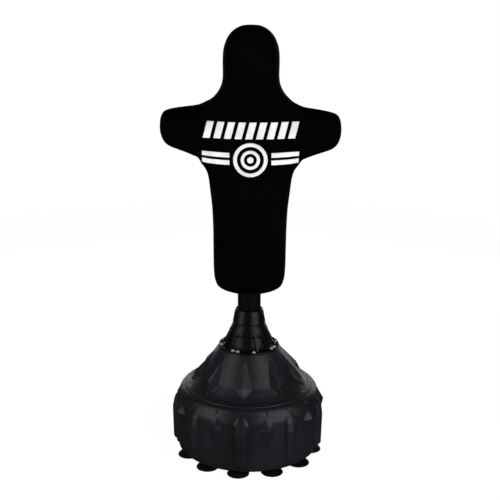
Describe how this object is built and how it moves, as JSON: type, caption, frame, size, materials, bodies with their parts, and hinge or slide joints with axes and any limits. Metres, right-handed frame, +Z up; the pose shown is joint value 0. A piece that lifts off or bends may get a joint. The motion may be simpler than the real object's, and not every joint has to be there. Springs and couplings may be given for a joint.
{
  "type": "body opponent mannequin",
  "caption": "Free-standing man-shaped padded striking dummy with stub arms, on a sprung neck over a fillable round base with suction cups.",
  "frame": {"origin": "on the floor under the middle of the round base", "axes": "+Z up along the pole; the figure faces -Y; +X towards its left arm"},
  "size_m": [0.6912, 0.6148, 1.7002],
  "materials": {
    "tank_plastic": "satin",
    "neck_plastic": "satin",
    "pole_plastic": "satin",
    "cap_plastic": "satin",
    "bushing_plastic": "matte",
    "cup_rubber": "satin",
    "gasket_rubber": "matte",
    "chrome": "polished",
    "steel": "satin",
    "spring_steel": "satin",
    "foam": "matte",
    "cover_fabric": "matte",
    "zip_tape": "matte",
    "zip_metal": "satin"
  },
  "bodies": {
    "base": {"base_tank": "tank_plastic", "suction_cup_01": "cup_rubber", "suction_cup_02": "cup_rubber", "suction_cup_03": "cup_rubber", "suction_cup_04": "cup_rubber", "suction_cup_05": "cup_rubber", "suction_cup_06": "cup_rubber", "suction_cup_07": "cup_rubber", "suction_cup_08": "cup_rubber", "suction_cup_09": "cup_rubber", "suction_cup_10": "cup_rubber", "suction_cup_11": "cup_rubber", "suction_cup_12": "cup_rubber", "neck_housing": "neck_plastic", "flange_screw_01": "chrome", "flange_screw_02": "chrome", "flange_screw_03": "chrome", "flange_screw_04": "chrome", "flange_screw_05": "chrome", "flange_screw_06": "chrome", "flange_screw_07": "chrome", "flange_screw_08": "chrome", "flange_screw_09": "chrome", "flange_screw_10": "chrome", "flange_screw_11": "chrome", "flange_screw_12": "chrome", "lower_spring_seat": "steel", "seat_bolt_1": "steel", "seat_bolt_2": "steel", "seat_bolt_3": "steel", "seat_bolt_4": "steel"},
    "filler_liner": {"filler_gasket": "gasket_rubber"},
    "filler_cap": {"filler_cap": "cap_plastic"},
    "spring": {"neck_spring": "spring_steel"},
    "mannequin": {"upper_spring_seat": "steel", "upper_collar": "neck_plastic", "collar_set_screw_1": "steel", "collar_set_screw_2": "steel", "pole_tube": "pole_plastic", "pole_bushing_lower": "bushing_plastic", "pole_bushing_upper": "bushing_plastic", "pole_top_plug": "bushing_plastic", "foam_core": "foam", "cover": "cover_fabric", "zip_tape": "zip_tape", "zip_teeth": "zip_metal", "zip_lower_stop": "zip_metal", "zip_upper_stop": "zip_metal"},
    "zip_slider": {"zip_slider": "zip_metal"},
    "zip_pull": {"zip_pull": "zip_metal"}
  },
  "joints": [
    {"name": "neck_lean_fore_aft", "type": "hinge", "parent": "base", "child": "spring", "pos_m": [0, 0, 0.496], "axis": [1, 0, 0], "range_deg": [-10, 10], "stiffness_Nm_per_rad": 1500, "deforming": ["neck_spring"]},
    {"name": "neck_lean_side", "type": "hinge", "parent": "spring", "child": "mannequin", "pos_m": [0, 0, 0.496], "axis": [0, 1, 0], "range_deg": [-10, 10], "stiffness_Nm_per_rad": 1500, "deforming": ["neck_spring"]},
    {"name": "cap_lift", "type": "slide", "parent": "base", "child": "filler_liner", "axis": [0, 0, 1], "range_m": [0, 0.02]},
    {"name": "cap_turn", "type": "hinge", "parent": "filler_liner", "child": "filler_cap", "pos_m": [0.02133, 0.22148, 0.356], "axis": [0, 0, 1], "range_deg": [0, 900]},
    {"name": "zip_slide", "type": "slide", "parent": "mannequin", "child": "zip_slider", "axis": [0, 0, 1], "range_m": [0, 0.365]},
    {"name": "zip_pull_swing", "type": "hinge", "parent": "zip_slider", "child": "zip_pull", "pos_m": [0, 0.12105, 0.81898], "axis": [1, 0, 0], "range_deg": [0, 160]}
  ],
  "couplings": [
    {"joint": "cap_lift", "follows": "cap_turn", "m_per_rad": 0.001273}
  ]
}
